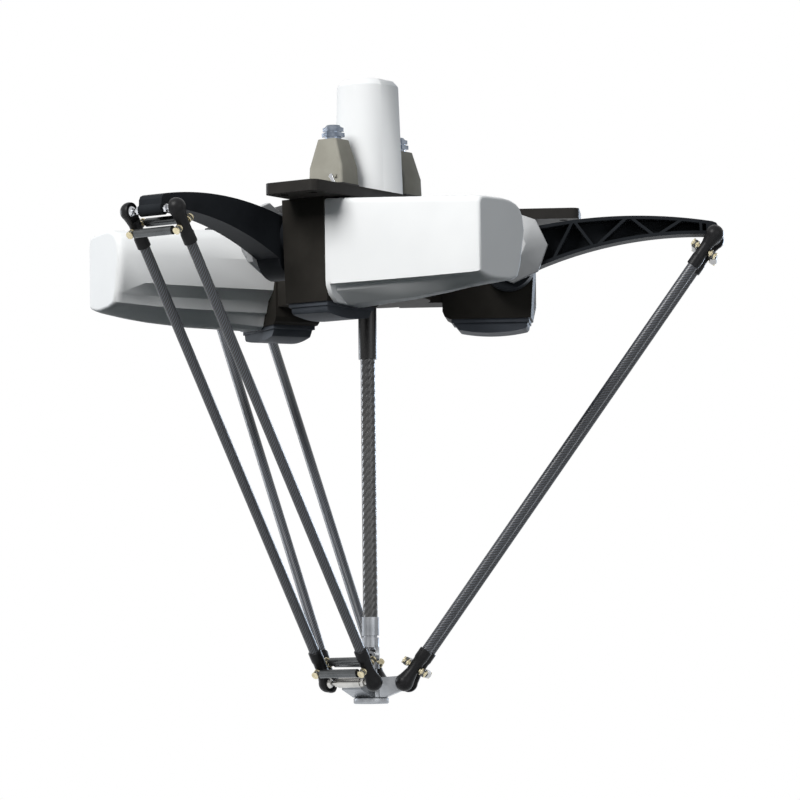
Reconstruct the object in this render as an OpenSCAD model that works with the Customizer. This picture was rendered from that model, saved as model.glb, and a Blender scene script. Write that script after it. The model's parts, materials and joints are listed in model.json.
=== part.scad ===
// Ceiling-hung delta robot: three arms in a pinwheel, paired ball-jointed rods, a platform
// and a telescopic centre shaft. Origin: centre of the top plate's upper face, +Z up.
// Arm b points along +X, arm c at 120 degrees and arm a at 240 degrees.

/* [Top plate] */
// Thickness of the plate that the robot hangs from
plate_t = 16; // [12:0.5:22]
// Radius of the round middle of the plate
plate_r = 130; // [124:1:136]
// Reach of each mounting wing from the robot's axis
wing_reach = 315; // [290:1:340]
// Width of each mounting wing
wing_w = 91; // [84:1:100]
// Corner radius of the wings
wing_corner = 12; // [6:1:16]
// Diameter of the hanging bolt holes
hang_hole_d = 13; // [9:0.5:15]
// Spacing of the two hanging holes of one wing
hang_pitch = 50; // [40:1:58]

/* [Gear cases] */
// Distance from the robot's axis to the inner face of a gear case
case_in = 110; // [106:1:116]
// Distance from the robot's axis to the outer face of a gear case
case_out = 250; // [247:1:256]
// Side step from the arm's centre plane to the gear case
case_side = 27; // [26:0.5:30]
// Width of a gear case between the arm and the motor cover
case_w = 73; // [70:1:80]
// Depth of a gear case below the top of the plate
case_drop = 165; // [160:1:172]
// Depth of the rounded sump under a gear case
sump_h = 21; // [14:1:28]
// Wall of a gear case
case_wall = 8; // [6:0.5:10]

/* [Motor covers] */
// Length of a motor cover beyond its gear case
cover_len = 253; // [235:1:275]
// Wall of a motor cover
cover_wall = 3.5; // [2.5:0.25:5]
// Edge radius of a motor cover
cover_edge = 5; // [3:0.5:7]
// Fall of the cover's top towards its outer end
cover_fall = 17; // [10:1:22]
// Taper of the cover's outer face towards its outer end
cover_taper = 18; // [10:1:22]

/* [Servo motors] */
// Square flange of a servo motor
motor_sq = 60; // [52:1:64]
// Length of a servo motor
motor_len = 118; // [90:1:150]

/* [Arms] */
// Distance from the robot's axis to an arm's pivot
pivot_r = 217; // [213:1:220]
// Depth of the pivots below the top of the plate
pivot_drop = 65.5; // [62:0.5:70]
// Arm length from pivot to elbow
arm_len = 300; // [280:1:330]
// Rise of the arms above level in the rest pose
arm_lift = 2.2; // [0:0.1:5]
// Width of an arm
arm_w = 40; // [36:1:44]
// Wall round the pockets of an arm
arm_wall = 5; // [3.5:0.25:6]
// Thickness of the pocket ribs
rib_t = 4; // [3:0.25:6]
// Radius of the arm's round hub
hub_r = 36; // [33:0.5:40]
// Bow of the arm's top edge over its chord
top_bow = 13.2; // [8:0.2:18]
// Bow of the arm's lower edge over its chord
low_bow = 17.9; // [12:0.2:22]
// Corner radius of the eight-sided hub cap
cap_r = 53.9; // [50:0.2:58]
// Height of the hub cap
cap_h = 38; // [28:1:44]

/* [Rods] */
// Rod length between ball centres
rod_len = 800; // [740:1:860]
// Diameter of the carbon rods
rod_d = 15; // [12:0.5:16]
// Distance between the two ball centres of a pair
ball_gap = 82; // [76:1:90]
// Diameter of the joint balls
ball_d = 18; // [16:0.5:19]
// Outer diameter of the ball cups
cup_d = 27; // [25:0.5:29]
// Length of a socket from ball centre to sleeve end
socket_len = 57; // [52:1:66]
// Diameter of the socket's sleeve
sleeve_end_d = 19.5; // [18.5:0.25:22]
// Distance from ball centre to the spring pin
spring_pin_z = 27; // [24:0.5:30]
// Side step of the springs from the rod's axis
spring_side = 15.5; // [15:0.25:17]
// Diameter of the spring tubes
spring_tube_d = 12.6; // [9:0.2:13]

/* [Platform] */
// Radius of the lower ball line of each pair
lower_r = 52.5; // [50:0.5:58]
// Diameter of the lower cross bars
bar_d = 15; // [13:0.5:16]
// Outer diameter of the platform's hub
plat_hub_d = 44; // [42:0.5:48]
// Diameter of the tool flange
flange_d = 52; // [50:0.5:60]
// Thickness of the tool flange
flange_t = 9; // [8:0.5:12]
// Bolt circle of the tool flange
flange_pcd = 40; // [38:0.5:42]
// Diameter of the centring bore in the tool flange
flange_bore_d = 25; // [20:0.5:26]

/* [Centre shaft] */
// Outer diameter of the upper sleeve
sleeve_d = 27.3; // [26:0.1:30]
// Lower end of the sleeve, below the top of the plate
sleeve_drop = 226; // [200:1:260]
// Diameter of the carbon drive tube
tube_d = 21.8; // [20:0.1:22.4]
// Diameter of the aluminium collar
collar_d = 25.5; // [24.5:0.1:28]
// Length of the collar
collar_len = 27; // [22:1:34]

/* [Tower] */
// Height of the tower above the plate
tower_h = 190; // [175:1:210]
// Radius of the tower at its foot
tower_foot_r = 51.5; // [49:0.5:55]
// Radius of the tower at its top
tower_top_r = 45.5; // [43:0.5:48]
// Wall of the tower
tower_wall = 3; // [2:0.25:4]
// Side step of the tower from the robot's axis, along +X
tower_shift = 4; // [0:0.5:5]

/* [Connectors] */
// Distance from the robot's axis to the connectors
plug_r = 83; // [81:1:104]
// Width of a connector hood
hood_w = 61; // [54:1:66]
// Depth of a connector hood
hood_d = 44; // [38:1:46]
// Height of the connector's fixed base
plug_base_h = 26; // [22:1:32]
// Height of the connector hood above its base
hood_h = 67; // [56:1:74]
// Bore of the cable glands
gland_bore_d = 13; // [9:0.5:16]

/* [Hidden] */
$fn = 64;

angle_a = 240;              // bearing of each arm seen from above
angle_b = 0;
angle_c = 120;
bearings = [angle_a, angle_b, angle_c];

run_gap = 0.3;              // between faces that turn or slide past each other
seat_gap = 0.05;            // between a pin and its bore, or a screw and its hole

// Rest pose: the elbow, and the platform that hangs from the rods
elbow_r = pivot_r + arm_len * cos(arm_lift);
elbow_z = -pivot_drop + arm_len * sin(arm_lift);
rod_lean = asin((elbow_r - lower_r) / rod_len);
lower_z = elbow_z - rod_len * cos(rod_lean);
ball_y = ball_gap / 2;

// Base
wing_side = case_side + 14;                   // near edge of a wing from the arm's plane
wing_mid = wing_side + wing_w / 2;
case_end = case_side + case_w;                // far face of a gear case
sump_step = 6;                                // thickness of the pan's flange
hang_r = wing_reach - 24;
hub_floor = -case_drop + 25;
shaft_bore_r = 30;
case_bolts = [[case_in + 20, wing_side + 11], [case_in + 20, case_end - 10],
    [case_out - 15, wing_side + 11], [case_out - 15, case_end - 10]];
bolt_r = 4;
bolt_head_r = 6.5;
bolt_head_h = 8;
bolt_len = 18;

// Motor and reducer sit beside the pivot, in the middle of the cover
motor_r = (case_in + case_out) / 2 - 2;
motor_z = -pivot_drop - 21;
motor_bolt = motor_sq / 2 - 3.5;              // screw positions on the motor's square flange
motor_foot_y = case_end + 10;                 // where the motor meets its reducer
motor_face = motor_foot_y + 8;
unit_r = 38;                                  // motor end of the reducer
unit_side = case_side + case_wall;
unit_len = case_w - case_wall;
shaft_r = 11;                                 // output shaft at the pivot
shaft_in = 30;                                // how deep it enters the reducer

// Arm outline, in the arm's own frame with the pivot at the origin and the elbow on +X
top_root = [22, 27];
top_tip = [arm_len - 1, 21.5];
low_root = [3, -45];
low_tip = [arm_len - 10, 3];
lobe_at = [-7, -22];                          // lower lobe of the hub
lobe_r = 39;
tip_end = arm_len + 6.3;
boss_r = 9;                                   // round boss on the elbow line
stud_r = 4.5;                                 // bar that carries the two elbow balls
rib_low = [0.197, 0.407, 0.71];               // where the zigzag touches the lower edge
rib_top = [0.31, 0.583, 0.857];               // and the top edge, along the arm
end_rib = 0.935;
web_t = 8;                                    // closed side of the arm, towards the case

function bow_radius(p, q, s) = (pow(norm(q - p), 2) / 4 + s * s) / (2 * s);
function bow_centre(p, q, r) = let (d = q - p, l = norm(d))
    (p + q) / 2 + sqrt(r * r - l * l / 4) * [d[1], -d[0]] / l;
function bow_z(c, r, x) = c[1] + sqrt(r * r - pow(x - c[0], 2));

arm_top_r = bow_radius(top_root, top_tip, top_bow);
arm_top_c = bow_centre(top_root, top_tip, arm_top_r);
arm_low_r = bow_radius(low_root, low_tip, low_bow);
arm_low_c = bow_centre(low_root, low_tip, arm_low_r);

// Joint hardware
neck_r = 3.5;
cup_mouth = 4.5;                              // how far the cup closes past the ball's centre
rod_start = spring_pin_z + 7;                 // rod end inside its socket
rod_wall = 1.8;
pin_r = 3;
spool_r = 5.5;
groove_w = 5;
spool_t = 2.4;
hook_r = 1;

// Platform and universal joint
plat_top = lower_z + 7;
plat_floor = lower_z - 21.2;
flange_top = plat_floor - run_gap;
stub_r = 9;                                   // shaft through the platform
bearing_r = 15;
joint_z = lower_z + 40;                       // centre of the universal joint
neck = 30;                                    // from that centre up to the collar
fork_r = 12.5;
fork_t = 5;
fork_drop = 11;
collar_top = joint_z + neck + collar_len;
cross_r = 3.6;
tube_top = 45;

// Tower
sleeve_top = 62;
motor_foot = sleeve_top + 14;
tower_motor_sq = 58;
tower_motor_len = 92;

// Connectors
plug_turn = angle_a;
gland_r = 12;
lever_y = hood_w / 2 - 6.5;                   // lever pivot, near one end of the base
lever_z = plug_base_h * 0.55;
lever_t = 2;
lever_hook = [-12, 22];                       // hook, seen from the pivot
lever_grip = [14, -6.8];                      // grip bar, seen from the pivot
peg_at = [-4.4, 22];                          // hood's locking peg, seen from the pivot
peg_r = 2.5;

// Shared helpers
module on_bearing(a) {
    rotate([0, 0, a]) children();
}

// Extrudes an outline drawn in the radius-height plane from side y0 to side y1
module slab(y0, y1) {
    translate([0, y1, 0]) rotate([90, 0, 0]) linear_extrude(y1 - y0) children();
}

module bar_y(r, y0, y1, n = 64) {
    translate([0, y0, 0]) rotate([-90, 0, 0]) cylinder(r = r, h = y1 - y0, $fn = n);
}

module bar_x(r, x0, x1, n = 64) {
    translate([x0, 0, 0]) rotate([0, 90, 0]) cylinder(r = r, h = x1 - x0, $fn = n);
}

module ring(r_out, r_in, h) {
    difference() {
        cylinder(r = r_out, h = h);
        translate([0, 0, -1]) cylinder(r = r_in, h = h + 2);
    }
}

module in_arm(a) {
    on_bearing(a) translate([pivot_r, 0, -pivot_drop]) rotate([0, -arm_lift, 0]) children();
}

module in_rod_pair(a) {
    on_bearing(a) translate([elbow_r, 0, elbow_z]) rotate([0, rod_lean, 0]) children();
}

// ---- Base ----
module wing_outline() {
    x1 = wing_reach - wing_corner;
    y0 = wing_side + wing_corner;
    y1 = wing_side + wing_w - wing_corner;
    union() {
        translate([0, wing_side]) square([x1, wing_w]);
        translate([0, y0]) square([wing_reach, y1 - y0]);
        for (y = [y0, y1]) translate([x1, y]) circle(r = wing_corner);
    }
}

module top_plate() {
    color("dimgray") difference() {
        translate([0, 0, -plate_t]) linear_extrude(plate_t) union() {
            circle(r = plate_r, $fn = 128);
            for (a = bearings) rotate(a) wing_outline();
        }
        translate([0, 0, -plate_t - 1]) cylinder(r = shaft_bore_r, h = plate_t + 2);
        for (a = bearings) on_bearing(a) {
            for (s = [-1, 1]) translate([hang_r, wing_mid + s * hang_pitch / 2, -plate_t - 1])
                cylinder(d = hang_hole_d, h = plate_t + 2);
            for (p = case_bolts) translate([p[0], p[1], 0]) {
                translate([0, 0, -plate_t - 1]) cylinder(r = bolt_r + seat_gap, h = plate_t + 2);
                translate([0, 0, -bolt_head_h]) cylinder(r = bolt_head_r + 0.5, h = 20);
            }
        }
    }
}

module base_hub() {
    color([0.12, 0.12, 0.13]) translate([0, 0, hub_floor])
        linear_extrude(-plate_t - hub_floor) difference() {
            union() {
                circle(r = case_in - 16, $fn = 128);
                for (a = bearings) on_bearing(a)
                    translate([40, case_side + 3]) square([case_in - 40, case_w - 6]);
            }
            circle(r = shaft_bore_r);
        }
}

module case_outline() {
    polygon([[case_in, -plate_t], [case_in, -case_drop + 11], [case_in + 3, -case_drop + 4],
        [case_in + 10, -case_drop], [case_out - 8, -case_drop],
        [case_out - 4, -plate_t - 86], [case_out, -plate_t]]);
}

// Flange under the case, and the shallow pan below it with its bowed floor
module sump_flange() {
    translate([case_in + 13, -case_drop - sump_step])
        square([case_out - case_in - 24, sump_step + 1]);
}

module sump_outline() {
    x0 = case_in + 16;
    x1 = case_out - 12;
    rise = sump_h * 0.22;
    r = (pow(x1 - x0 - 18, 2) / 4 + rise * rise) / (2 * rise);
    intersection() {
        translate([(x0 + x1) / 2, -case_drop - sump_h + r]) circle(r = r, $fn = 360);
        polygon([[x0, -case_drop], [x1, -case_drop], [x1 - 2, -case_drop - sump_h + 9],
            [x1 - 10, -case_drop - sump_h - 1], [x0 + 13, -case_drop - sump_h - 1],
            [x0 + 1, -case_drop - sump_step - 2]]);
    }
}

module unit_outline(grow) {
    union() {
        translate([motor_r, motor_z]) circle(r = unit_r + grow);
        translate([pivot_r, -pivot_drop]) circle(r = 2 * shaft_r + grow);
    }
}

module gear_case(a) {
    color([0.14, 0.13, 0.125]) on_bearing(a) difference() {
        union() {
            slab(case_side, case_end) case_outline();
            slab(case_side + 3, case_end - 2) sump_flange();
            slab(case_side + 6, case_end - 4) sump_outline();
        }
        slab(unit_side, case_end + 1) unit_outline(seat_gap);
        translate([pivot_r, 0, -pivot_drop]) bar_y(shaft_r + run_gap, case_side - 1, case_end);
        for (p = case_bolts) translate([p[0], p[1], -bolt_head_h - bolt_len - 1])
            cylinder(r = bolt_r + seat_gap, h = 30);
    }
}

module gear_unit(a) {
    color("slategray") on_bearing(a) difference() {
        union() {
            slab(unit_side, unit_side + unit_len - 1) unit_outline(0);
            translate([motor_r, 0, motor_z])
                bar_y(unit_r - 9, unit_side + unit_len - 1, motor_foot_y);
        }
        translate([pivot_r, 0, -pivot_drop])
            bar_y(shaft_r + run_gap, unit_side - 1, unit_side + shaft_in + 1);
    }
}

module servo_motor(a) {
    y0 = motor_foot_y;
    half = motor_sq / 2;
    can = half - 7;
    color([0.16, 0.17, 0.18]) on_bearing(a) translate([motor_r, 0, motor_z]) union() {
        translate([-half, y0, -half]) cube([motor_sq, 8, motor_sq]);
        translate([-can, y0 + 8, -can]) cube([2 * can, motor_len - 40, 2 * can]);
        bar_y(can - 1, y0 + motor_len - 33, y0 + motor_len);
        translate([-8, y0 + motor_len - 26, can - 6]) cube([16, 18, 12]);
    }
}

// Cover sections in the radius-height plane: upper body and lower tray, root and end
lip_z = -case_drop + 23;                       // outer lower edge of the upper body
cover_top = -plate_t - 2;
undercut_z = lip_z + 31;                       // where the inner side turns in to the tray
upper_root = [[case_out - 3, cover_top], [case_in + 34, cover_top],
    [case_in + 12, cover_top - 8], [case_in - 2, cover_top - 50], [case_in + 1, undercut_z],
    [case_in + 17, undercut_z - 13], [case_in + 30, lip_z], [case_out - 6, lip_z]];
upper_end = [for (p = upper_root) [
    p[0] > motor_r ? p[0] - cover_taper : p[0],
    p[1] > lip_z ? p[1] - cover_fall * (p[1] - lip_z) / (cover_top - lip_z) : p[1] - 2]];
tray_root = [[case_out - 14, lip_z + 8], [case_in + 18, lip_z + 16],
    [case_in + 18, -case_drop + 23], [case_in + 30, -case_drop + 8], [case_in + 44, -case_drop - 1],
    [case_out - 36, -case_drop - 1], [case_out - 18, -case_drop + 8]];
tray_end = [for (p = tray_root) [
    p[0] > motor_r ? p[0] - cover_taper + 2 : p[0],
    p[1] < lip_z ? lip_z - 2 - (lip_z - p[1]) * 0.22 : p[1]]];

// One thin slice of the cover with rounded corners, at side y
module cover_slice(points, y, inset, edge) {
    slab(y, y + 0.5) offset(r = edge, $fn = 24) offset(delta = -edge - inset) polygon(points);
}

module cover_body(inset, y0, y1) {
    hull() {
        cover_slice(upper_root, y0, inset, cover_edge);
        cover_slice(upper_end, y1 - 4, inset, cover_edge);
        cover_slice(upper_end, y1 - 0.5, inset + 3, cover_edge);
    }
}

module cover_tray(inset, y0, y1) {
    hull() {
        cover_slice(tray_root, y0, inset, 2.5);
        cover_slice(tray_end, y1 - 6.5, inset, 2.5);
    }
}

module motor_cover(a) {
    y0 = case_end + seat_gap;
    y1 = case_end + cover_len;
    color("white") on_bearing(a) difference() {
        union() {
            cover_body(0, y0, y1);
            cover_tray(0, y0, y1 - 6);
            cover_root_band(y0);
        }
        cover_body(cover_wall, y0 - 2, y1 - cover_wall);
        cover_tray(cover_wall, y0 - 2, y1 - 12);
    }
}

// Short full-depth band where the cover meets its gear case
module cover_root_band(y0) {
    band = [[case_out - 5, lip_z + 4], [case_out - 11, -case_drop + 9],
        [case_out - 22, -case_drop + 1], [case_out - 40, -case_drop + 1],
        [case_out - 30, lip_z + 4]];
    slab(y0, y0 + 8) polygon(band);
}

module plate_screws() {
    color("black") for (a = bearings) on_bearing(a) for (p = case_bolts)
        translate([p[0], p[1], -bolt_head_h]) difference() {
            union() {
                cylinder(r = bolt_head_r, h = bolt_head_h - 0.5);
                translate([0, 0, -bolt_len]) cylinder(r = bolt_r, h = bolt_len + 1);
            }
            translate([0, 0, 3]) cylinder(r = 3.5, h = 10, $fn = 6);
        }
}

module motor_screws() {
    color("silver") for (a = bearings) on_bearing(a)
        for (x = [-1, 1], z = [-1, 1])
            translate([motor_r + x * motor_bolt, 0, motor_z + z * motor_bolt])
                bar_y(3, motor_face, motor_face + 4);
}

// ---- Tower ----
module tower_shell(inset) {
    hull() {
        translate([0, 0, inset > 0 ? -1 : 0]) tower_slice(tower_foot_r - inset);
        translate([0, 0, tower_h - 10 - inset]) tower_slice(tower_top_r - inset);
        translate([0, 0, tower_h - 1 - inset]) tower_slice(tower_top_r - 8 - inset);
    }
}

// Round outline with one flat facet towards the side between arms a and b
module tower_slice(r) {
    linear_extrude(1) intersection() {
        circle(r = r, $fn = 72);
        rotate(-30) translate([-2 * r, -2 * r]) square([2.87 * r, 4 * r]);
    }
}

module tower_cover() {
    color("white") translate([tower_shift, 0, 0]) difference() {
        tower_shell(0);
        tower_shell(tower_wall);
    }
}

module tower_motor() {
    half = tower_motor_sq / 2;
    color([0.16, 0.17, 0.18]) translate([0, 0, motor_foot]) difference() {
        union() {
            translate([-half, -half, 0]) cube([tower_motor_sq, tower_motor_sq, 8]);
            translate([0, 0, 8]) cylinder(r = half - 2, h = tower_motor_len - 8);
            for (x = [-1, 1], y = [-1, 1])
                translate([x * (half - 4.5), y * (half - 4.5), -motor_foot])
                    cylinder(r = 4, h = motor_foot + 1);
        }
        translate([0, 0, -1]) cylinder(r = 5 + run_gap, h = 20);
    }
}

module shaft_bearing() {
    color("silver") translate([0, 0, -plate_t - 14]) ring(shaft_bore_r, sleeve_d / 2 + run_gap, 14);
}

module shaft_sleeve() {
    color([0.06, 0.06, 0.06]) difference() {
        union() {
            translate([0, 0, -sleeve_drop]) cylinder(d = sleeve_d, h = sleeve_drop + sleeve_top);
            translate([0, 0, sleeve_top]) cylinder(r = 5, h = 28);
        }
        translate([0, 0, -sleeve_drop - 1])
            cylinder(r = tube_d / 2 + run_gap, h = sleeve_drop + tube_top + 6);
    }
}

// ---- Connectors ----
module at_plug(side) {
    on_bearing(plug_turn) translate([side * plug_r, 0, 0])
        rotate([0, 0, side > 0 ? 0 : 180]) children();
}

module connector_base(side) {
    color("dimgray") at_plug(side) union() {
        translate([-hood_d / 2 - 3, -hood_w / 2 - 9, 0]) cube([hood_d + 6, hood_w + 18, 4]);
        translate([-hood_d / 2, -hood_w / 2, 4])
            cube([hood_d, hood_w, plug_base_h - 4]);
        translate([0, lever_y, lever_z])
            bar_x(3, -hood_d / 2 - lever_t - 2, hood_d / 2 + lever_t + 2);
    }
}

module hood_form(inset) {
    w = hood_w - 2 * inset;
    d = hood_d - 2 * inset;
    e = 4;
    hull() {
        for (x = [-1, 1], y = [-1, 1]) {
            translate([x * (d / 2 - e), y * (w / 2 - e), 0]) cylinder(r = e, h = 1, $fn = 24);
            translate([x * (d / 2 - e - 0.5), y * (w / 2 - e - 1), hood_h * 0.36])
                cylinder(r = e, h = 1, $fn = 24);
            translate([x * (d / 2 - e - 4), y * (w / 2 - e - 14), hood_h - 1 - inset])
                cylinder(r = e, h = 1, $fn = 24);
        }
    }
}

module connector_hood(side) {
    color([0.45, 0.44, 0.40]) at_plug(side) translate([0, 0, plug_base_h]) difference() {
        union() {
            hood_form(0);
            translate([0, lever_y + peg_at[0], lever_z + peg_at[1] - plug_base_h])
                bar_x(peg_r, -hood_d / 2 - lever_t - 1, hood_d / 2 + lever_t + 1);
        }
        translate([0, 0, -1]) hood_form(3);
        cylinder(d = gland_bore_d, h = hood_h + 1);
    }
}

module cable_gland(side) {
    color("lightsteelblue") at_plug(side) translate([0, 0, plug_base_h + hood_h])
        difference() {
            union() {
                cylinder(r = gland_r, h = 5);
                translate([0, 0, 4]) cylinder(r = gland_r + 5, h = 6, $fn = 6);
                translate([0, 0, 9]) cylinder(r = gland_r, h = 4);
                translate([0, 0, 12]) cylinder(r = gland_r + 3.5, h = 6, $fn = 6);
                translate([0, 0, 17.5]) cylinder(r1 = gland_r + 1.5, r2 = gland_r - 2, h = 4);
            }
            translate([0, 0, -1]) cylinder(d = gland_bore_d, h = 30);
        }
}

// Locking lever: a hooked plate on each side of the base, joined by a grip bar
module lever_plate() {
    difference() {
        union() {
            circle(r = 5.5);
            for (p = [lever_hook, lever_grip]) {
                rotate(atan2(p[1], p[0])) translate([0, -2.5]) square([norm(p), 5]);
                translate(p) circle(r = 3.4);
            }
        }
        circle(r = 3 + run_gap);
    }
}

module latch_lever(side) {
    x = hood_d / 2 + run_gap;
    color("silver") at_plug(side) translate([0, lever_y, lever_z]) union() {
        for (s = [-1, 1]) translate([s > 0 ? x : -x - lever_t, 0, 0])
            rotate([90, 0, 90]) linear_extrude(lever_t) lever_plate();
        translate([0, lever_grip[0], lever_grip[1]]) bar_x(3, -x - 1, x + 1);
    }
}

// ---- Arms ----
// Slanted cut at the upper corner of the arm's tip
module tip_cut() {
    z = bow_z(arm_top_c, arm_top_r, tip_end - 8);
    polygon([[tip_end - 8.5, z + 1], [tip_end - 8, z - 0.2], [tip_end - 3, z - 2.5],
        [tip_end - 0.6, z - 7], [tip_end + 1, z - 9], [tip_end + 1, z + 1]]);
}

module arm_outline() {
    difference() {
        arm_profile();
        tip_cut();
    }
}

module arm_profile() {
    union() {
        intersection() {
            difference() {
                translate(arm_top_c) circle(r = arm_top_r, $fn = 360);
                translate(arm_low_c) circle(r = arm_low_r, $fn = 360);
            }
            translate([-6, -arm_len / 5]) square([tip_end + 6, arm_len / 2.5]);
        }
        circle(r = hub_r);
        translate(lobe_at) circle(r = lobe_r);
        translate([arm_len - 8, 0]) square([tip_end - arm_len + 8, 12]);
    }
}

module rib_line(p, q) {
    d = q - p;
    translate(p) rotate(atan2(d[1], d[0])) translate([-6, -rib_t / 2])
        square([norm(d) + 12, rib_t]);
}

module pocket_outline() {
    x_end = end_rib * arm_len;
    low = [for (f = rib_low) [f * arm_len, bow_z(arm_low_c, arm_low_r, f * arm_len)]];
    top = [for (f = rib_top) [f * arm_len, bow_z(arm_top_c, arm_top_r, f * arm_len)]];
    difference() {
        intersection() {
            difference() {
                translate(arm_top_c) circle(r = arm_top_r - arm_wall, $fn = 360);
                translate(arm_low_c) circle(r = arm_low_r + arm_wall, $fn = 360);
            }
            translate([hub_r + 4, -arm_len / 5]) square([tip_end - hub_r - 22, arm_len / 2.5]);
        }
        for (i = [0 : 2]) {
            rib_line(low[i], top[i]);
            if (i < 2) rib_line(top[i], low[i + 1]);
        }
        translate([x_end - rib_t / 2, -arm_len / 5]) square([rib_t, arm_len / 2.5]);
    }
}

module upper_arm(a) {
    half = arm_w / 2;
    color([0.10, 0.095, 0.09]) in_arm(a) difference() {
        union() {
            slab(-half, half) arm_outline();
            bar_y(hub_r - 7, half - 1, case_side - run_gap);
            translate([arm_len, 0, 0]) bar_y(boss_r, -half, half);
        }
        slab(-half - 1, half - web_t) pocket_outline();
        bar_y(shaft_r + seat_gap, -half - 1, case_side);
        translate([arm_len, 0, 0]) bar_y(stud_r + seat_gap, -half - 1, half + 1);
    }
}

module output_shaft(a) {
    half = arm_w / 2;
    color("silver") in_arm(a) union() {
        bar_y(shaft_r, -half - 3, unit_side + shaft_in);
        bar_y(shaft_r + 8, -half - 6, -half);
    }
}

module hub_cap(a) {
    half = arm_w / 2;
    skirt = 9;
    front_r = cap_r * 0.42;
    color([0.72, 0.73, 0.73]) in_arm(a) translate([0, -half, 0]) rotate([90, 0, 0])
        difference() {
            union() {
                cylinder(r = cap_r, h = skirt, $fn = 8);
                translate([0, 0, skirt])
                    cylinder(r1 = cap_r, r2 = front_r, h = cap_h - skirt, $fn = 8);
            }
            translate([0, 0, -1]) cylinder(r = shaft_r + 10, h = cap_h - 8);
        }
}

module ball_stud_bar(bar_r, bar_half, hex_r, hex_len) {
    union() {
        bar_y(bar_r, -bar_half - 1, bar_half + 1);
        for (s = [-1, 1]) scale([1, s, 1]) {
            bar_y(hex_r, bar_half, bar_half + hex_len, 6);
            bar_y(neck_r, bar_half + hex_len - 1, ball_y);
            translate([0, ball_y, 0]) sphere(d = ball_d);
        }
    }
}

module elbow_studs(a) {
    color("silver") in_arm(a) translate([arm_len, 0, 0])
        ball_stud_bar(stud_r, arm_w / 2 + seat_gap, 6.5, 6);
}

// ---- Rods ----
module rods(a) {
    color([0.2, 0.22, 0.26]) in_rod_pair(a) for (s = [-1, 1])
        translate([0, s * ball_y, -rod_len + rod_start])
            ring(rod_d / 2, rod_d / 2 - rod_wall, rod_len - 2 * rod_start);
}

module socket(s) {
    sleeve_r = sleeve_end_d / 2;
    waist = cup_d / 2 - 4.7;
    difference() {
        union() {
            sphere(d = cup_d);
            rotate_extrude() polygon([[0, -6], [cup_d / 2 - 1.6, -6], [waist + 0.6, -17],
                [waist, -20], [waist, -socket_len + 19], [sleeve_r, -socket_len + 15],
                [sleeve_r, -socket_len + 0.8], [sleeve_r - 0.8, -socket_len], [0, -socket_len]]);
        }
        sphere(r = ball_d / 2 + run_gap / 2);
        translate([-cup_d, s > 0 ? -2 * cup_d - cup_mouth : cup_mouth, -cup_d * 0.56])
            cube([2 * cup_d, 2 * cup_d, 2 * cup_d]);
        translate([0, 0, -socket_len - 1])
            cylinder(r = rod_d / 2 + seat_gap, h = socket_len + 1 - rod_start);
        translate([0, 0, -spring_pin_z]) bar_x(pin_r + seat_gap, -cup_d, cup_d);
    }
}

module each_socket() {
    for (s = [-1, 1]) {
        translate([0, s * ball_y, 0]) children(s > 0 ? 0 : 1);
        translate([0, s * ball_y, -rod_len]) rotate([180, 0, 0]) children(s > 0 ? 1 : 0);
    }
}

module ball_sockets(a) {
    color([0.05, 0.05, 0.055]) in_rod_pair(a) each_socket() {
        socket(1);
        socket(-1);
    }
}

module spring_pin() {
    reach = spring_side + groove_w / 2 + spool_t;
    union() {
        bar_x(pin_r, -reach, reach);
        for (s = [-1, 1]) scale([s, 1, 1]) {
            bar_x(spool_r, spring_side - groove_w / 2 - spool_t, spring_side - groove_w / 2);
            bar_x(spool_r, spring_side + groove_w / 2, reach);
        }
    }
}

// Tube with a wire eye at each end, hooked round the grooves of two pins
module spring_tube() {
    half = ball_y - spool_r - 3;
    eye_r = pin_r + hook_r + seat_gap;
    union() {
        bar_y(spring_tube_d / 2, -half, half);
        for (s = [-1, 1]) scale([1, s, 1]) {
            bar_y(hook_r, half - 1, ball_y - eye_r);
            translate([0, ball_y, 0]) rotate([0, 90, 0])
                rotate_extrude() translate([eye_r, 0]) circle(r = hook_r, $fn = 24);
        }
    }
}

module springs(a) {
    in_rod_pair(a) for (z = [-spring_pin_z, -rod_len + spring_pin_z]) translate([0, 0, z]) {
        color([0.85, 0.80, 0.60]) for (s = [-1, 1]) translate([0, s * ball_y, 0]) spring_pin();
        color([0.25, 0.27, 0.28]) for (s = [-1, 1]) translate([s * spring_side, 0, 0])
            spring_tube();
    }
}

module lower_bar(a) {
    color("silver") on_bearing(a) translate([lower_r, 0, lower_z])
        ball_stud_bar(bar_d / 2, ball_y - 22.5, 6.5, 7);
}

// ---- Platform ----
module saddle_outline() {
    lip = lower_r - 2;
    difference() {
        polygon([[0, 7], [lip - 6, 7 + 3], [lip, 7 + 3], [lip, -10], [lip - 8, -13],
            [plat_hub_d / 2, -21.2], [0, -21.2]]);
        translate([lower_r, 0]) circle(r = bar_d / 2 + run_gap);
    }
}

module platform() {
    color("silver") translate([0, 0, lower_z]) difference() {
        union() {
            translate([0, 0, -21.2]) cylinder(d = plat_hub_d, h = 28.2);
            for (a = bearings) on_bearing(a)
                slab(-ball_y + 24, ball_y - 24) saddle_outline();
        }
        translate([0, 0, -22]) cylinder(r = bearing_r, h = 60);
    }
}

module platform_bearing() {
    color("gray") translate([0, 0, plat_floor]) ring(bearing_r - seat_gap, stub_r + run_gap, 28);
}

module drive_tube() {
    color([0.35, 0.36, 0.38]) translate([0, 0, collar_top - 12])
        ring(tube_d / 2, tube_d / 2 - 2, tube_top - collar_top + 12);
}

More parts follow.
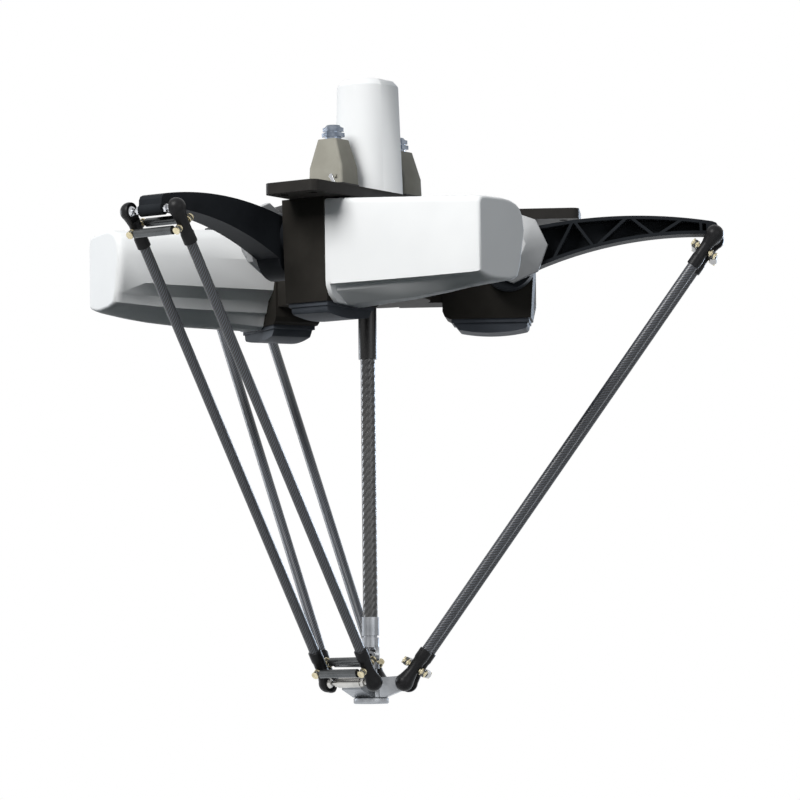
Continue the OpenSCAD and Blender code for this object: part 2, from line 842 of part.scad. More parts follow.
module upper_yoke() {
    color("silver") translate([0, 0, joint_z]) union() {
        difference() {
            translate([0, 0, neck]) cylinder(d = collar_d, h = collar_len);
            translate([0, 0, neck + collar_len - 12]) cylinder(r = tube_d / 2 + seat_gap, h = 20);
        }
        translate([0, 0, neck - 4]) cylinder(r = fork_r - 2.5, h = 5);
        translate([0, 0, fork_drop]) difference() {
            cylinder(r = fork_r, h = neck - 3 - fork_drop);
            translate([0, 0, -1]) cube([2 * (fork_r - fork_t), 3 * fork_r, 5], center = true);
        }
        fork_ears();
    }
}

module fork_ears() {
    difference() {
        union() for (x = [-fork_r, fork_r - fork_t]) {
            translate([x, -6, 0]) cube([fork_t, 12, fork_drop + 2]);
            bar_x(7, x, x + fork_t);
        }
        bar_x(cross_r + seat_gap, -2 * fork_r, 2 * fork_r);
    }
}

module joint_cross() {
    reach = fork_r - 0.5;
    color([0.75, 0.76, 0.78]) translate([0, 0, joint_z]) union() {
        bar_x(cross_r, -reach, reach);
        bar_y(cross_r, -reach, reach);
        cube(11, center = true);
    }
}

module tool_flange() {
    color("silver") union() {
        translate([0, 0, joint_z]) mirror([0, 0, 1]) rotate([0, 0, 90]) {
            fork_ears();
            translate([0, 0, fork_drop]) difference() {
                cylinder(r = fork_r, h = 8);
                translate([0, 0, -1]) cube([2 * (fork_r - fork_t), 3 * fork_r, 5], center = true);
            }
        }
        translate([0, 0, flange_top - 1])
            cylinder(r = stub_r, h = joint_z - fork_drop - 4 - flange_top);
        translate([0, 0, flange_top - flange_t]) difference() {
            rotate_extrude($fn = 96) polygon([[0, 0], [flange_d / 2 - 1.5, 0], [flange_d / 2, 1.5],
                [flange_d / 2, flange_t - 1.5], [flange_d / 2 - 1.5, flange_t], [0, flange_t]]);
            translate([0, 0, -1]) cylinder(d = flange_bore_d, h = 7);
            for (k = [0 : 3]) rotate([0, 0, 45 + 90 * k]) translate([flange_pcd / 2, 0, -1])
                cylinder(r = 3, h = flange_t + 2);
        }
    }
}

top_plate();
base_hub();
gear_case(angle_a);  // gear_case_a
gear_case(angle_b);  // gear_case_b
gear_case(angle_c);  // gear_case_c
motor_cover(angle_a);  // motor_cover_a
motor_cover(angle_b);  // motor_cover_b
motor_cover(angle_c);  // motor_cover_c
servo_motor(angle_a);  // servo_motor_a
servo_motor(angle_b);  // servo_motor_b
servo_motor(angle_c);  // servo_motor_c
gear_unit(angle_a);  // gear_unit_a
gear_unit(angle_b);  // gear_unit_b
gear_unit(angle_c);  // gear_unit_c
tower_cover();
tower_motor();
shaft_bearing();
connector_base(1);  // connector_base_front
connector_base(-1);  // connector_base_rear
connector_hood(1);  // connector_hood_front
connector_hood(-1);  // connector_hood_rear
cable_gland(1);  // cable_gland_front
cable_gland(-1);  // cable_gland_rear
latch_lever(1);  // latch_lever_front
latch_lever(-1);  // latch_lever_rear
plate_screws();
motor_screws();
upper_arm(angle_a);  // upper_arm_a
upper_arm(angle_b);  // upper_arm_b
upper_arm(angle_c);  // upper_arm_c
output_shaft(angle_a);  // output_shaft_a
output_shaft(angle_b);  // output_shaft_b
output_shaft(angle_c);  // output_shaft_c
hub_cap(angle_a);  // hub_cap_a
hub_cap(angle_b);  // hub_cap_b
hub_cap(angle_c);  // hub_cap_c
elbow_studs(angle_a);  // elbow_studs_a
elbow_studs(angle_b);  // elbow_studs_b
elbow_studs(angle_c);  // elbow_studs_c
rods(angle_a);  // rods_a
rods(angle_b);  // rods_b
rods(angle_c);  // rods_c
ball_sockets(angle_a);  // ball_sockets_a
ball_sockets(angle_b);  // ball_sockets_b
ball_sockets(angle_c);  // ball_sockets_c
springs(angle_a);  // springs_a
springs(angle_b);  // springs_b
springs(angle_c);  // springs_c
lower_bar(angle_a);  // lower_bar_a
lower_bar(angle_b);  // lower_bar_b
lower_bar(angle_c);  // lower_bar_c
platform();
platform_bearing();
drive_tube();
upper_yoke();
joint_cross();
tool_flange();
shaft_sleeve();
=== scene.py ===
import json
import math
import bmesh
import bpy
from mathutils import Matrix, Vector

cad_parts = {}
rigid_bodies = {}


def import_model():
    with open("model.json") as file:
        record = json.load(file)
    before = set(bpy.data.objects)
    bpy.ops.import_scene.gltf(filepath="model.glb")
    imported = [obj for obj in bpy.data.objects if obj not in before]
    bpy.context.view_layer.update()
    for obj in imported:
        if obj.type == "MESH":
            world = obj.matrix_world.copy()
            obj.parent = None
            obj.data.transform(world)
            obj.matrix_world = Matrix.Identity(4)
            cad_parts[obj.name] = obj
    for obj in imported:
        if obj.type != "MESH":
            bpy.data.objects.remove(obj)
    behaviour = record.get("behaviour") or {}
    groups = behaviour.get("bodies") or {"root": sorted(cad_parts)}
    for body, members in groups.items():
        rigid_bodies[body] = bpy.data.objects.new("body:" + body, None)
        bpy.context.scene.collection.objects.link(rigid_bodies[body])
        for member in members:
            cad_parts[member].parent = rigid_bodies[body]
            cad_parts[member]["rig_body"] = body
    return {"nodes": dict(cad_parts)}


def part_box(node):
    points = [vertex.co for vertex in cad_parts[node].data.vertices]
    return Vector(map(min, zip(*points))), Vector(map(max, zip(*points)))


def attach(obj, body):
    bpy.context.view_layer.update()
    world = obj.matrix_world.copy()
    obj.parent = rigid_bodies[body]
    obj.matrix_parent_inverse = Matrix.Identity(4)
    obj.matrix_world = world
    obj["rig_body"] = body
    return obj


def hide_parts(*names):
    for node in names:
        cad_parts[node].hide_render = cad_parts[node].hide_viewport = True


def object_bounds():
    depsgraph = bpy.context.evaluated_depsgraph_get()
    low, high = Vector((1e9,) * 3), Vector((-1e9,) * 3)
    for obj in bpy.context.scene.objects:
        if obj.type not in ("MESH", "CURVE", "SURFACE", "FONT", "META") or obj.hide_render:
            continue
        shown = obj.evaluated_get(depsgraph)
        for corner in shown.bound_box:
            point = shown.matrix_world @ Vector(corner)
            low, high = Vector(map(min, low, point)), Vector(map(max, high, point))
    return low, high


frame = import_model()
nodes = frame["nodes"]
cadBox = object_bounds()
print("robot: frame loaded,", len(nodes), "parts")

arms = {"a": 240.0, "b": 0.0, "c": 120.0}  # bearing of each arm seen from above

view = {"turn": -4.56, "pitch": 4.89, "roll": 0.62,  # in degrees
        "distance": 6.348, "aim": (0.0472, -0.2869), "reach": 60,  # in metres, aim across and up
        "lens": 192.6, "sensor": 36}  # in millimetres


def placeCamera():
    turn, pitch, roll = (math.radians(view[k]) for k in ("turn", "pitch", "roll"))
    across = Vector((math.cos(turn), -math.sin(turn), 0))
    ahead = Vector((math.sin(turn), math.cos(turn), 0))
    look = ahead * math.cos(pitch) + Vector((0, 0, math.sin(pitch)))
    rise = -ahead * math.sin(pitch) + Vector((0, 0, math.cos(pitch)))
    aim = across * view["aim"][0] + Vector((0, 0, view["aim"][1]))
    place = aim - look * view["distance"]
    right = across * math.cos(roll) - rise * math.sin(roll)
    up = across * math.sin(roll) + rise * math.cos(roll)
    data = bpy.data.cameras.new("camera")
    data.lens = view["lens"]
    data.sensor_width = view["sensor"]
    data.clip_end = view["reach"]
    camera = bpy.data.objects.new("camera", data)
    bpy.context.scene.collection.objects.link(camera)
    turned = Matrix((right, up, -look)).transposed().to_4x4()
    turned.translation = place
    camera.matrix_world = turned
    bpy.context.scene.camera = camera


lampAim = (0, 0, -0.15)
lamps = {  # place, size, power and tint of each soft lamp
    "key": ((-1.7, -2.8, 2.1), 2.0, 178, (1.0, 0.995, 0.985)),
    "leftRim": ((-2.9, 1.5, 0.1), 0.8, 26, (0.86, 0.92, 1.0)),
    "rightRim": ((1.7, 2.9, 0.1), 0.9, 34, (0.66, 0.80, 1.0)),
    "fill": ((2.4, -2.6, 0.4), 2.4, 26, (0.97, 0.98, 1.0)),
}


def hangLamps():
    for name, (place, size, power, tint) in lamps.items():
        data = bpy.data.lights.new(name, "AREA")
        data.size = size
        data.energy = power
        data.color = tint
        lamp = bpy.data.objects.new(name, data)
        lamp.location = place
        aim = Vector(lampAim) - Vector(place)
        lamp.rotation_euler = aim.to_track_quat("-Z", "Y").to_euler()
        bpy.context.scene.collection.objects.link(lamp)


def whiteWhereSeen(tree, shader, white):
    # the eye and every reflection meet a white room; the light itself stays soft and low
    path = tree.nodes.new("ShaderNodeLightPath")
    seen = path.outputs["Is Camera Ray"]
    for ray in ("Is Glossy Ray", "Is Transmission Ray"):
        either = tree.nodes.new("ShaderNodeMath")
        either.operation = "MAXIMUM"
        tree.links.new(seen, either.inputs[0])
        tree.links.new(path.outputs[ray], either.inputs[1])
        seen = either.outputs[0]
    mix = tree.nodes.new("ShaderNodeMixShader")
    tree.links.new(seen, mix.inputs[0])
    tree.links.new(shader, mix.inputs[1])
    tree.links.new(white, mix.inputs[2])
    return mix.outputs[0]


room = {  # tones of the light that comes from below, from the side and from above
    "low": (0.012, 0.016, 0.016), "middle": (0.055, 0.066, 0.071), "high": (0.24, 0.255, 0.27)}


def lightWorld():
    world = bpy.data.worlds.new("studio")
    world.use_nodes = True
    bpy.context.scene.world = world
    tree = world.node_tree
    coords = tree.nodes.new("ShaderNodeTexCoord")
    split = tree.nodes.new("ShaderNodeSeparateXYZ")
    tree.links.new(coords.outputs["Generated"], split.inputs[0])
    height = tree.nodes.new("ShaderNodeMapRange")
    height.inputs["From Min"].default_value = -1
    tree.links.new(split.outputs["Z"], height.inputs["Value"])
    tones = tree.nodes.new("ShaderNodeValToRGB")
    tones.color_ramp.elements[0].color = (*room["low"], 1)
    tones.color_ramp.elements[1].color = (*room["high"], 1)
    tones.color_ramp.elements.new(0.5).color = (*room["middle"], 1)
    tree.links.new(height.outputs["Result"], tones.inputs["Fac"])
    soft = tree.nodes["Background"]
    tree.links.new(tones.outputs["Color"], soft.inputs["Color"])
    white = tree.nodes.new("ShaderNodeBackground")
    white.inputs["Color"].default_value = (1, 1, 1, 1)
    out = whiteWhereSeen(tree, soft.outputs[0], white.outputs[0])
    tree.links.new(out, tree.nodes["World Output"].inputs["Surface"])


floor = {"size": 9, "drop": 0.42,  # metres across, and below the robot
         "tone": 0.93, "rough": 0.8, "glow": 0.45}


def layFloor():
    mesh = bmesh.new()
    bmesh.ops.create_grid(mesh, x_segments=1, y_segments=1, size=floor["size"] / 2)
    bmesh.ops.translate(mesh, verts=mesh.verts, vec=(0, 0, cadBox[0][2] - floor["drop"]))
    data = bpy.data.meshes.new("floor")
    mesh.to_mesh(data)
    mesh.free()
    plane = bpy.data.objects.new("floor", data)
    bpy.context.scene.collection.objects.link(plane)
    material = bpy.data.materials.new("paleFloor")
    material.use_nodes = True
    tree = material.node_tree
    shader = tree.nodes["Principled BSDF"]
    shader.inputs["Base Color"].default_value = (floor["tone"], floor["tone"], floor["tone"], 1)
    shader.inputs["Roughness"].default_value = floor["rough"]
    shader.inputs["Emission Color"].default_value = (1, 1, 1, 1)
    shader.inputs["Emission Strength"].default_value = floor["glow"]
    data.materials.append(material)
    plane.visible_diffuse = False  # so the underside isn't lit by the floor


placeCamera()
hangLamps()
lightWorld()
layFloor()
bpy.context.scene.view_settings.view_transform = "Standard"
print("robot: camera, lamps and floor set")


def shaderTree(name, metal=0.0, rough=0.5, shine=0.5):
    material = bpy.data.materials.new(name)
    material.use_nodes = True
    tree = material.node_tree
    shader = tree.nodes["Principled BSDF"]
    shader.inputs["Metallic"].default_value = metal
    shader.inputs["Roughness"].default_value = rough
    shader.inputs["Specular IOR Level"].default_value = shine
    return material, tree, shader


def noise(tree, scale, detail):
    coords = tree.nodes.new("ShaderNodeTexCoord")
    texture = tree.nodes.new("ShaderNodeTexNoise")
    texture.inputs["Scale"].default_value = scale
    texture.inputs["Detail"].default_value = detail
    tree.links.new(coords.outputs["Object"], texture.inputs["Vector"])
    return texture.outputs["Fac"]


def ramp(tree, source, low, high, start=0.35, end=0.65):
    node = tree.nodes.new("ShaderNodeValToRGB")
    node.color_ramp.elements[0].position = start
    node.color_ramp.elements[0].color = (*low, 1)
    node.color_ramp.elements[1].position = end
    node.color_ramp.elements[1].color = (*high, 1)
    tree.links.new(source, node.inputs["Fac"])
    return node.outputs["Color"]


noiseSpan = (0.3, 0.7)  # most of a noise lies between these


def spread(tree, source, low, high):
    node = tree.nodes.new("ShaderNodeMapRange")
    node.inputs["From Min"].default_value = noiseSpan[0]
    node.inputs["From Max"].default_value = noiseSpan[1]
    node.inputs["To Min"].default_value = low
    node.inputs["To Max"].default_value = high
    tree.links.new(source, node.inputs["Value"])
    return node.outputs["Result"]


def bump(tree, shader, source, depth):
    node = tree.nodes.new("ShaderNodeBump")
    node.inputs["Strength"].default_value = 1.0
    node.inputs["Distance"].default_value = depth
    tree.links.new(source, node.inputs["Height"])
    tree.links.new(node.outputs["Normal"], shader.inputs["Normal"])


# two tones, range of roughness, scale and depth in metres of the grain, and scale of the clouding
finishes = {
    "coverWhite": dict(low=(0.79, 0.80, 0.805), high=(0.84, 0.85, 0.853), rough=(0.44, 0.54),
                       grain=900, depth=0.000015, cloud=7, shine=0.03),
    "casePaint": dict(low=(0.018, 0.0165, 0.0145), high=(0.027, 0.025, 0.022), rough=(0.42, 0.54),
                      grain=1500, depth=0.00003, cloud=16, shine=0.03),
    "platePaint": dict(low=(0.019, 0.018, 0.017), high=(0.030, 0.028, 0.026), rough=(0.38, 0.5),
                       grain=1500, depth=0.00003, cloud=16, shine=0.06),
    "sumpPaint": dict(low=(0.055, 0.062, 0.073), high=(0.078, 0.086, 0.10), rough=(0.42, 0.54),
                      grain=1500, depth=0.00003, cloud=16, shine=0.04),
    "armPaint": dict(low=(0.012, 0.0136, 0.016), high=(0.018, 0.0202, 0.0235), rough=(0.38, 0.5),
                     grain=1300, depth=0.00002, cloud=14, shine=0.03),
    "capPaint": dict(low=(0.50, 0.505, 0.51), high=(0.56, 0.565, 0.57), rough=(0.45, 0.56),
                     grain=1500, depth=0.00003, cloud=20, shine=0.08),
    "socketResin": dict(low=(0.008, 0.008, 0.009), high=(0.013, 0.013, 0.014), rough=(0.30, 0.42),
                        grain=2200, depth=0.000012, cloud=40, shine=0.12),
    "hoodPaint": dict(low=(0.29, 0.28, 0.24), high=(0.33, 0.32, 0.275), rough=(0.42, 0.55),
                      grain=2000, depth=0.00005, cloud=30, shine=0.06),
    "baseResin": dict(low=(0.020, 0.020, 0.020), high=(0.030, 0.030, 0.030), rough=(0.45, 0.6),
                      grain=2000, depth=0.00005, cloud=30, shine=0.3),
    "sleeveDark": dict(low=(0.008, 0.008, 0.008), high=(0.014, 0.0135, 0.0135), rough=(0.24, 0.36),
                       grain=1200, depth=0.00001, cloud=30, shine=0.35),
    "shotAluminium": dict(low=(0.21, 0.22, 0.235), high=(0.29, 0.30, 0.315), rough=(0.30, 0.42),
                          grain=2600, depth=0.000012, cloud=30, metal=1.0),
    "brightSteel": dict(low=(0.42, 0.43, 0.45), high=(0.54, 0.55, 0.57), rough=(0.08, 0.16),
                        grain=900, depth=0.000006, cloud=60, metal=1.0),
    "barSteel": dict(low=(0.34, 0.335, 0.32), high=(0.45, 0.44, 0.42), rough=(0.18, 0.28),
                     grain=1500, depth=0.000006, cloud=40, metal=1.0),
    "nickel": dict(low=(0.12, 0.145, 0.185), high=(0.24, 0.27, 0.32), rough=(0.10, 0.20),
                   grain=1200, depth=0.00001, cloud=90, metal=1.0),
    "darkSteel": dict(low=(0.07, 0.075, 0.078), high=(0.10, 0.105, 0.108), rough=(0.2, 0.28),
                      grain=6000, depth=0.000001, cloud=60, metal=0.7, shine=0.5),
    "yellowZinc": dict(low=(0.46, 0.40, 0.26), high=(0.60, 0.54, 0.38), rough=(0.2, 0.32),
                       grain=1500, depth=0.000015, cloud=160, metal=0.9),
    "machinedSteel": dict(low=(0.22, 0.22, 0.23), high=(0.32, 0.32, 0.33), rough=(0.24, 0.36),
                          grain=1500, depth=0.00002, cloud=60, metal=1.0),
    "motorPaint": dict(low=(0.016, 0.016, 0.018), high=(0.024, 0.024, 0.026), rough=(0.38, 0.5),
                       grain=1500, depth=0.00004, cloud=30, shine=0.3),
}


def makeFinish(name, low, high, rough, grain, depth, cloud, metal=0.0, shine=0.5):
    material, tree, shader = shaderTree(name, metal, rough[0], shine)
    cloudy = noise(tree, cloud, 3.0)
    fine = noise(tree, grain, 5.0)
    tree.links.new(ramp(tree, cloudy, low, high), shader.inputs["Base Color"])
    tree.links.new(spread(tree, fine, *rough), shader.inputs["Roughness"])
    bump(tree, shader, fine, depth)
    return material


def mathNode(tree, operation, first, second):
    node = tree.nodes.new("ShaderNodeMath")
    node.operation = operation
    node.inputs[2].default_value = 0.5  # the last term, which MULTIPLY_ADD alone uses
    for socket, value in zip(node.inputs, (first, second)):
        if isinstance(value, (int, float)):
            socket.default_value = value
        else:
            tree.links.new(value, socket)
    return node.outputs[0]


# ribs round the tube and their climb in metres, two tones and where the first one ends,
# range of roughness, shine, and relief in metres
woven = {
    # the rods' light tone is bluish: partly the weave's own tone, partly a painted bluish reflection
    # laid all round the rod
    "carbonRod": dict(ribs=9, pitch=0.0048, low=(0.030, 0.0305, 0.032), high=(0.145, 0.16, 0.195),
                      start=0.5, rough=(0.26, 0.36), shine=0.4, depth=0.00007),
    "carbonTube": dict(ribs=8, pitch=0.0109, low=(0.022, 0.0218, 0.0215),
                       high=(0.095, 0.095, 0.096), start=0.15, rough=(0.22, 0.32),
                       shine=0.55, depth=0.00040),
}
weave = {"fade": 0.12, "fibre": 2500, "mottle": 0.25, "end": 0.9}  # shared by both


def makeWoven(name, ribs, pitch, low, high, start, rough, shine, depth):
    # u runs once round the tube and v is metres along it: twill ribs climb one way,
    # and a finer tow crosses them and breaks each rib into short floats
    material, tree, shader = shaderTree(name, 0.0, rough[0], shine)
    uv = tree.nodes.new("ShaderNodeUVMap")
    split = tree.nodes.new("ShaderNodeSeparateXYZ")
    tree.links.new(uv.outputs["UV"], split.inputs[0])
    turn = mathNode(tree, "MULTIPLY", split.outputs["X"], ribs)
    climb = mathNode(tree, "DIVIDE", split.outputs["Y"], pitch)
    wave = mathNode(tree, "MULTIPLY", mathNode(tree, "SUBTRACT", climb, turn), math.tau)
    crown = mathNode(tree, "MULTIPLY_ADD", mathNode(tree, "COSINE", wave, 0), 0.5)
    cross = mathNode(tree, "ADD", mathNode(tree, "MULTIPLY", climb, 2),
                     mathNode(tree, "MULTIPLY", turn, 2))
    crossing = mathNode(tree, "COSINE", mathNode(tree, "MULTIPLY", cross, math.tau), 0)
    tow = mathNode(tree, "MULTIPLY_ADD", crossing, 0.5)
    broken = mathNode(tree, "ADD", mathNode(tree, "MULTIPLY", tow, weave["fade"]), 1 - weave["fade"])
    height = mathNode(tree, "MULTIPLY", crown, broken)
    fibre = noise(tree, weave["fibre"], 2.0)
    mottle = mathNode(tree, "MULTIPLY", fibre, weave["mottle"])
    shade = mathNode(tree, "ADD", mathNode(tree, "MULTIPLY", height, 1 - weave["mottle"]), mottle)
    # the rib crowns take the light tone; on the rods that tone is partly the weave and partly a
    # painted bluish reflection
    tone = ramp(tree, shade, low, high, start, weave["end"])
    tree.links.new(tone, shader.inputs["Base Color"])
    tree.links.new(spread(tree, shade, rough[1], rough[0]), shader.inputs["Roughness"])
    bump(tree, shader, height, depth)
    return material


finish = {name: makeFinish(name, **values) for name, values in finishes.items()}
finish.update({name: makeWoven(name, **values) for name, values in woven.items()})
print("robot: finishes made,", len(finish))


dressing = {  # start of the node's name: finish, edge radius in metres, material slot
    "top_plate": ("platePaint", 0.0012, "plate_dark"),
    "base_hub": ("casePaint", 0.001, "case_dark"),
    "gear_case": ("casePaint", 0.002, "case_dark"),
    "servo_motor": ("motorPaint", 0.0008, "motor_black"),
    "gear_unit": ("machinedSteel", 0.0008, "unit_steel"),
    "tower_cover": ("coverWhite", 0.0012, "cover_white"),
    "tower_motor": ("motorPaint", 0.0008, "motor_black"),
    "shaft_bearing": ("machinedSteel", 0.0004, "unit_steel"),
    "connector_base": ("baseResin", 0.0008, "base_grey"),
    "connector_hood": ("hoodPaint", 0.0008, "hood_grey"),
    "cable_gland": ("nickel", 0.0006, "gland_nickel"),
    "latch_lever": ("brightSteel", 0.0003, "lever_steel"),
    "plate_screws": ("machinedSteel", 0.0004, "screw_steel"),
    "motor_screws": ("machinedSteel", 0.0002, "screw_steel"),
    "upper_arm": ("armPaint", 0.0012, "arm_black"),
    "output_shaft": ("machinedSteel", 0.0006, "unit_steel"),
    "hub_cap": ("capPaint", 0.0015, "cap_grey"),
    "elbow_studs": ("brightSteel", 0.0002, "bright_steel"),
    "ball_sockets": ("socketResin", 0.0006, "socket_black"),
    "lower_bar": ("barSteel", 0.0003, "bright_steel"),
    "platform_bearing": ("machinedSteel", 0.0003, "unit_steel"),
    "platform": ("shotAluminium", 0.0008, "shot_aluminium"),
    "upper_yoke": ("shotAluminium", 0.0005, "shot_aluminium"),
    "joint_cross": ("brightSteel", 0.0003, "bright_steel"),
    "tool_flange": ("shotAluminium", 0.0007, "shot_aluminium"),
    "shaft_sleeve": ("sleeveDark", 0.0004, "sleeve_dark"),
}


merge = {"gap": 0.000004, "flat": 0.6}  # metres between doubled corners, degrees within a face


def mergedCopy(node):
    mesh = bmesh.new()
    mesh.from_mesh(nodes[node].data)
    bmesh.ops.remove_doubles(mesh, verts=mesh.verts, dist=merge["gap"])
    bmesh.ops.dissolve_limit(mesh, angle_limit=math.radians(merge["flat"]), verts=mesh.verts,
                             edges=mesh.edges, delimit={"NORMAL"})
    return mesh


def addPiece(name, mesh, material, body, smooth=32):
    data = bpy.data.meshes.new(name)
    mesh.to_mesh(data)
    mesh.free()
    for face in data.polygons:
        face.use_smooth = True
    data.set_sharp_from_angle(angle=math.radians(smooth))
    data.materials.append(material)
    piece = bpy.data.objects.new(name, data)
    bpy.context.scene.collection.objects.link(piece)
    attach(piece, body)
    return piece


rounding = {"steps": 2, "angle": 34}  # only edges that turn more than the angle are rounded


def roundEdges(piece, width):
    bevel = piece.modifiers.new("edges", "BEVEL")
    bevel.width = width
    bevel.segments = rounding["steps"]
    bevel.limit_method = "ANGLE"
    bevel.angle_limit = math.radians(rounding["angle"])
    bevel.use_clamp_overlap = True
    bevel.harden_normals = True


def bodyOf(node):
    return nodes[node]["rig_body"]


def nodesLike(start):
    return [name for name in nodes
            if name == start or (name.startswith(start + "_") and name not in dressing)]


pan = {"top": -0.1655}  # faces of a gear case below this height belong to its pan
for start, (finishName, width, slotName) in dressing.items():
    for node in nodesLike(start):
        piece = addPiece(node + "_shape", mergedCopy(node), finish[finishName],
                         bodyOf(node))
        roundEdges(piece, width)
        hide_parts(node)
        if start == "gear_case":  # the pan is a cooler grey
            piece.data.materials.append(finish["sumpPaint"])
            for face in piece.data.polygons:
                face.material_index = 1 if face.center.z < pan["top"] else 0
print("robot: parts dressed")

shell = {  # the motor cover in millimetres, a corner of its section being (out, up)
    "ends": (100.4, 353.0),  # places of the root and the tip along the cover
    "root": [(247, -26), (246.6, -22.8), (245.4, -20.2), (243.2, -18.6), (239, -18), (150, -18),
             (138, -19.5), (128, -23.5), (120.5, -29.5), (116, -37), (107, -70)],
    "tip": [(229.5, -43), (228.8, -39), (226.6, -35.6), (222.8, -33.4), (214, -32), (165, -30.5),
            (145, -32), (130, -35.8), (120, -41), (112.8, -50.5), (108.5, -72)],
    # at each place: undercut and the strip below it, the tray's side, its floor, the outer lip
    "low": {
        100.4: [(117, -114), (136, -129), (144, -146), (149, -148), (157, -165),
                (165, -169.5), (226, -167), (239, -157), (245.4, -144), (246.4, -138)],
        107.5: [(117, -114), (136, -129), (144, -146), (149, -148), (157, -165),
                (165, -169.5), (226, -167), (239, -157), (245, -144), (246, -138)],
        109.0: [(117, -114), (136, -129), (144, -146), (149, -148), (157, -165),
                (165, -169.5), (206, -168), (232, -151), (235, -143.5), (246, -142)],
        205.0: [(117, -113), (135, -129), (141, -145), (145, -147), (158, -158),
                (176, -166), (203, -166), (226, -150), (229, -144.5), (239, -142)],
        271.0: [(116, -112), (133, -128.5), (137, -143.5), (140, -145.5), (157, -152.5),
                (184, -161), (201, -161), (221, -147.5), (224, -144), (234.5, -141.5)],
        307.0: [(115.5, -111), (130, -128), (133, -142), (136, -144), (155, -149.5),
                (186, -156.5), (200, -156.5), (218, -146.5), (222, -143.8), (232, -141)],
        340.0: [(119, -124), (121.5, -127), (127.5, -140.5), (131.5, -143), (150, -147.2),
                (186, -150.5), (200, -150.5), (216, -146), (222, -143.5), (229.5, -140.5)],
        353.0: [(120, -124), (122, -128), (127.5, -139.5), (132, -142.5), (150, -146.5),
                (188, -148), (204, -147), (217, -144.5), (224, -142.5), (228.5, -140)]},
    "centre": (175, -90),  # the point that the tip's rounding draws in to
    "half": (65, 50, 55),  # from there to the inner side, the outer side, and the top or floor
    # rounding of the far end: place, then how far the inner side and the rest draw in
    "nose": [(345, 0.4, 0), (348.2, 1.4, 0.3), (350.6, 3.2, 1), (352.2, 5.6, 2), (353, 8.5, 3.4)],
    "rim": 1.5,  # flat ring round the end face
    "smooth": 27,  # degrees, a sharper edge stays an edge
}


def shellSections():
    start, end = shell["ends"]

    def section(place):
        share = (place - start) / (end - start)
        top = [(a[0] + (b[0] - a[0]) * share, a[1] + (b[1] - a[1]) * share)
               for a, b in zip(shell["root"], shell["tip"])]
        before = max(k for k in shell["low"] if k <= place)
        after = min(k for k in shell["low"] if k >= place)
        part = (place - before) / (after - before) if after > before else 0
        return top + [(a[0] + (b[0] - a[0]) * part, a[1] + (b[1] - a[1]) * part)
                      for a, b in zip(shell["low"][before], shell["low"][after])]

    middle, height = shell["centre"]
    inward, outward, upward = shell["half"]
    found = [(place, section(place)) for place in sorted(shell["low"])[:-1]]
    for place, inner, rest in shell["nose"]:
        found.append((place, [
            (r + inner * (middle - r) / inward if r < middle
             else r - rest * (r - middle) / outward,
             z + rest * (height - z) / upward) for r, z in section(place)]))
    return found


def drawnShell(sections):
    # the first section, drawn out from place to place and closed at the start
    mesh = bmesh.new()
    place, outline = sections[0]
    face = mesh.faces.new([mesh.verts.new((r / 1000, place / 1000, z / 1000)) for r, z in outline])
    for place, outline in sections[1:]:
        face = bmesh.ops.extrude_discrete_faces(mesh, faces=[face])["faces"][0]
        for vert, (r, z) in zip(face.verts, outline):
            vert.co = (r / 1000, place / 1000, z / 1000)
    bmesh.ops.inset_individual(mesh, faces=[face], thickness=shell["rim"] / 1000,
                               use_even_offset=True)
    bmesh.ops.holes_fill(mesh, edges=[e for e in mesh.edges if e.is_boundary], sides=0)
    bmesh.ops.recalc_face_normals(mesh, faces=mesh.faces)
    return mesh


sections = shellSections()
for letter, angle in arms.items():
    mesh = drawnShell(sections)
    turned = Matrix.Rotation(math.radians(angle), 3, "Z")
    bmesh.ops.rotate(mesh, verts=mesh.verts, cent=(0, 0, 0), matrix=turned)
    piece = addPiece("motor_cover_%s_shell" % letter, mesh, finish["coverWhite"],
                     "base", shell["smooth"])
    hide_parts("motor_cover_" + letter)
print("robot: motor covers drawn")


def tubeAlong(mesh, start, end, radius, sides):
    # a closed round bar with u once round it and v in metres along it
    length = (end - start).length
    made = bmesh.ops.create_cone(mesh, cap_ends=True, segments=sides, radius1=radius,
                                 radius2=radius, depth=length)
    uv = mesh.loops.layers.uv.verify()
    for face in {f for v in made["verts"] for f in v.link_faces}:
        middle = face.calc_center_median()
        home = math.atan2(middle.y, middle.x)
        for loop in face.loops:
            at = loop.vert.co
            turn = math.atan2(at.y, at.x) - home
            turn = (turn + math.pi) % (2 * math.pi) - math.pi
            loop[uv].uv = ((home + turn) / (2 * math.pi), at.z + length / 2)
    along = (end - start).normalized()
    turned = along.to_track_quat("Z", "Y").to_matrix().to_4x4()
    place = Matrix.Translation((start + end) / 2) @ turned
    bmesh.ops.transform(mesh, matrix=place, verts=made["verts"])


def islands(mesh):
    # the separate solids of a mesh, each as its list of corners
    met = set()
    groups = []
    for first in mesh.verts:
        if first in met:
            continue
        met.add(first)
        edge, group = [first], [first]
        while edge:
            vert = edge.pop()
            for other in (e.other_vert(vert) for e in vert.link_edges):
                if other not in met:
                    met.add(other)
                    edge.append(other)
                    group.append(other)
        groups.append(group)
    return groups


barEnds = {"depth": 0.004, "passes": 6}  # metres taken at each end, times the axis is refined


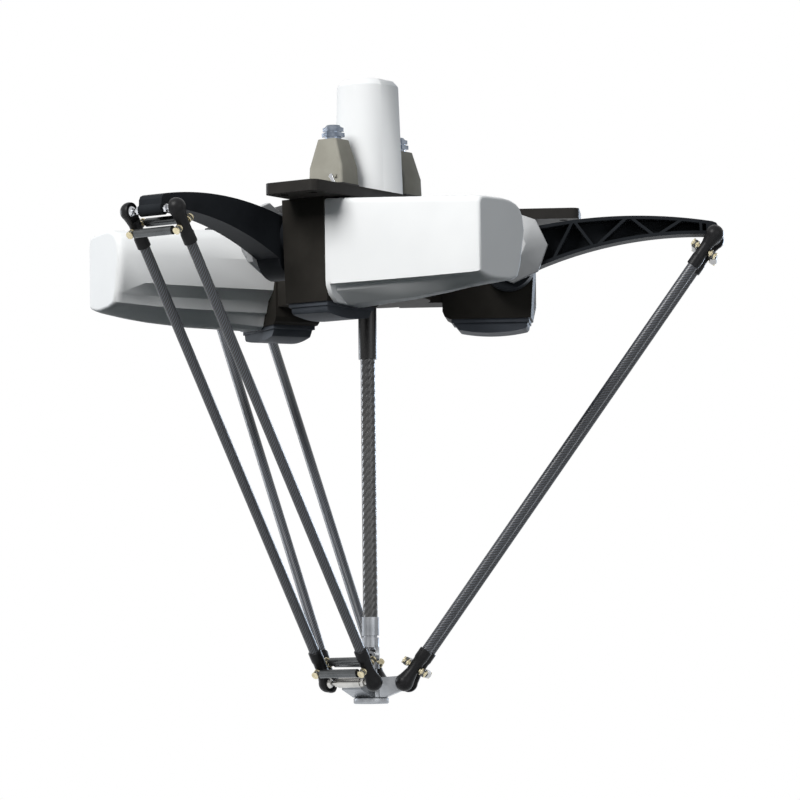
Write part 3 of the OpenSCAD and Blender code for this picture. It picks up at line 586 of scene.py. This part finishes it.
def axisOf(corners):
    # ends of a round bar, each the middle of the corners that lie near it
    low = min(corners, key=lambda c: c.z)
    high = max(corners, key=lambda c: c.z)
    along = (high - low).normalized()
    for step in range(barEnds["passes"]):
        spans = [c.dot(along) for c in corners]
        bottom, top = min(spans), max(spans)
        first = [c for c, s in zip(corners, spans) if s < bottom + barEnds["depth"]]
        last = [c for c, s in zip(corners, spans) if s > top - barEnds["depth"]]
        start = sum(first, Vector()) / len(first)
        end = sum(last, Vector()) / len(last)
        along = (end - start).normalized()
    return start, end


rods = {"radius": 0.0075, "sides": 48}
for letter in arms:
    mesh = bmesh.new()
    plain = mergedCopy("rods_" + letter)
    for group in islands(plain):
        start, end = axisOf([v.co for v in group])
        tubeAlong(mesh, start, end, rods["radius"], rods["sides"])
    plain.free()
    piece = addPiece("rods_%s_wound" % letter, mesh, finish["carbonRod"],
                     "forearm_" + letter)
    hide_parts("rods_" + letter)

tube = {"radius": 0.0109, "sides": 64}
low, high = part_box("drive_tube")
mesh = bmesh.new()
tubeAlong(mesh, Vector((0, 0, low.z)), Vector((0, 0, high.z)), tube["radius"], tube["sides"])
piece = addPiece("drive_tube_wound", mesh, finish["carbonTube"], "tool")
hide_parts("drive_tube")
print("robot: tubes wound")


# solids that reach further across the arm than the span are spring tubes, the rest their posts
springs = {"span": 0.04, "edge": 0.0003}
for letter in arms:
    node = "springs_" + letter
    mesh = mergedCopy(node)
    side = Matrix.Rotation(math.radians(-arms[letter]), 3, "Z")
    posts, tubes = [], []
    for group in islands(mesh):
        reach = [(side @ v.co).y for v in group]
        (tubes if max(reach) - min(reach) > springs["span"] else posts).append(group)
    for name, keep, finishName in (("posts", posts, "yellowZinc"), ("tubes", tubes, "darkSteel")):
        part = mesh.copy()
        wanted = {v.index for group in keep for v in group}
        spare = [v for v in part.verts if v.index not in wanted]
        bmesh.ops.delete(part, geom=spare, context="VERTS")
        piece = addPiece("springs_%s_%s" % (letter, name), part, finish[finishName],
                         "forearm_" + letter)
        roundEdges(piece, springs["edge"])
        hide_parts(node)
    mesh.free()
print("robot: springs done")

print("robot: done")
